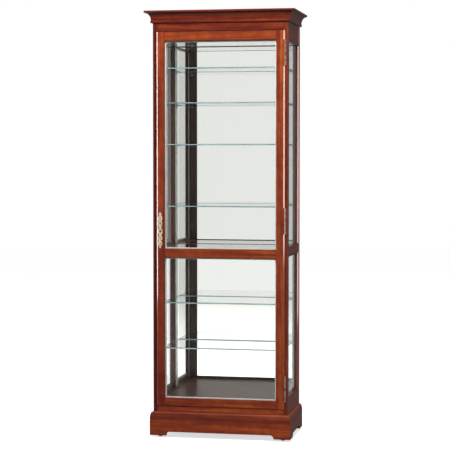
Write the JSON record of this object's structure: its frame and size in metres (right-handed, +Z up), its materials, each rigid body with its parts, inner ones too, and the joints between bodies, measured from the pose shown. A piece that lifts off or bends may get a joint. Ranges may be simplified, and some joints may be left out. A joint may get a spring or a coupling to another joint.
{
  "type": "curio cabinet",
  "caption": "Tall wooden curio cabinet with a glazed hinged door, glass sides, glass shelves, a mirror back, crown moulding and a bracket plinth on levelling feet.",
  "frame": {"origin": "centre of the overall footprint, on the floor under the feet", "axes": "+Z up; the door faces -Y; +X is to the right of a person who faces the door, on the hinge side"},
  "size_m": [0.722, 0.408, 2.032],
  "materials": {
    "cherry": "reddish cherry, satin lacquer",
    "cherry_inside": "dark reddish brown, glossy lacquer",
    "clear_glass": "clear float glass with polished edges",
    "mirror": "silvered glass",
    "white_laminate": "off-white laminate",
    "hardboard": "matte hardboard",
    "pale_brass": "pale antique brass, cast",
    "dark_bronze": "dark bronze",
    "zinc_steel": "zinc plated",
    "black_foot": "black moulded plastic"
  },
  "bodies": {
    "cabinet": {"front_post_left": "cherry", "front_post_right": "cherry", "rear_post_left": "cherry", "rear_post_right": "cherry", "frieze_rail": "cherry", "front_bottom_rail": "cherry", "side_top_rail_left": "cherry", "side_top_rail_right": "cherry", "side_mid_rail_left": "cherry", "side_mid_rail_right": "cherry", "side_bottom_rail_left": "cherry", "side_bottom_rail_right": "cherry", "crown_front": "cherry", "crown_left": "cherry", "crown_right": "cherry", "top_board": "cherry", "base_moulding_front": "cherry", "base_moulding_left": "cherry", "base_moulding_right": "cherry", "plinth_front": "cherry", "plinth_left": "cherry", "plinth_right": "cherry", "deck_floor": "cherry_inside", "mid_shelf_frame": "cherry_inside", "plinth_back": "cherry_inside", "leveler_rail_left": "cherry_inside", "leveler_rail_right": "cherry_inside", "glass_shelf_1": "clear_glass", "glass_shelf_2": "clear_glass", "glass_shelf_3": "clear_glass", "glass_shelf_4": "clear_glass", "glass_shelf_5": "clear_glass", "glass_shelf_6": "clear_glass", "mid_shelf_glass": "clear_glass", "side_glass_upper_left": "clear_glass", "side_glass_upper_right": "clear_glass", "side_glass_lower_left": "clear_glass", "side_glass_lower_right": "clear_glass", "back_mirror": "mirror", "ceiling_panel": "white_laminate", "back_panel": "hardboard", "hinge_lower_frame_leaf": "dark_bronze", "hinge_middle_frame_leaf": "dark_bronze", "hinge_upper_frame_leaf": "dark_bronze"},
    "door": {"door_stile_left": "cherry", "door_stile_right": "cherry", "door_top_rail": "cherry", "door_mid_rail": "cherry", "door_bottom_rail": "cherry", "door_glass_upper": "clear_glass", "door_glass_lower": "clear_glass", "escutcheon": "pale_brass", "hinge_lower_door_leaf": "dark_bronze", "hinge_middle_door_leaf": "dark_bronze", "hinge_upper_door_leaf": "dark_bronze"},
    "lock": {"lock_plug": "zinc_steel"},
    "leveler_front_left": {"leveler_front_left": "black_foot"},
    "leveler_front_right": {"leveler_front_right": "black_foot"},
    "leveler_rear_left": {"leveler_rear_left": "black_foot"},
    "leveler_rear_right": {"leveler_rear_right": "black_foot"}
  },
  "joints": [
    {"name": "door_swing", "type": "hinge", "parent": "cabinet", "child": "door", "pos_m": [0.313, -0.1725, 1.043], "axis": [0, 0, 1], "range_deg": [0, 120]},
    {"name": "lock_turn", "type": "hinge", "parent": "door", "child": "lock", "pos_m": [-0.29, -0.168, 0.986], "axis": [0, 1, 0], "range_deg": [0, 90]},
    {"name": "leveler_front_left_screw", "type": "slide", "parent": "cabinet", "child": "leveler_front_left", "axis": [0, 0, 1], "range_m": [-0.012, 0]},
    {"name": "leveler_front_right_screw", "type": "slide", "parent": "cabinet", "child": "leveler_front_right", "axis": [0, 0, 1], "range_m": [-0.012, 0]},
    {"name": "leveler_rear_left_screw", "type": "slide", "parent": "cabinet", "child": "leveler_rear_left", "axis": [0, 0, 1], "range_m": [-0.012, 0]},
    {"name": "leveler_rear_right_screw", "type": "slide", "parent": "cabinet", "child": "leveler_rear_right", "axis": [0, 0, 1], "range_m": [-0.012, 0]}
  ]
}
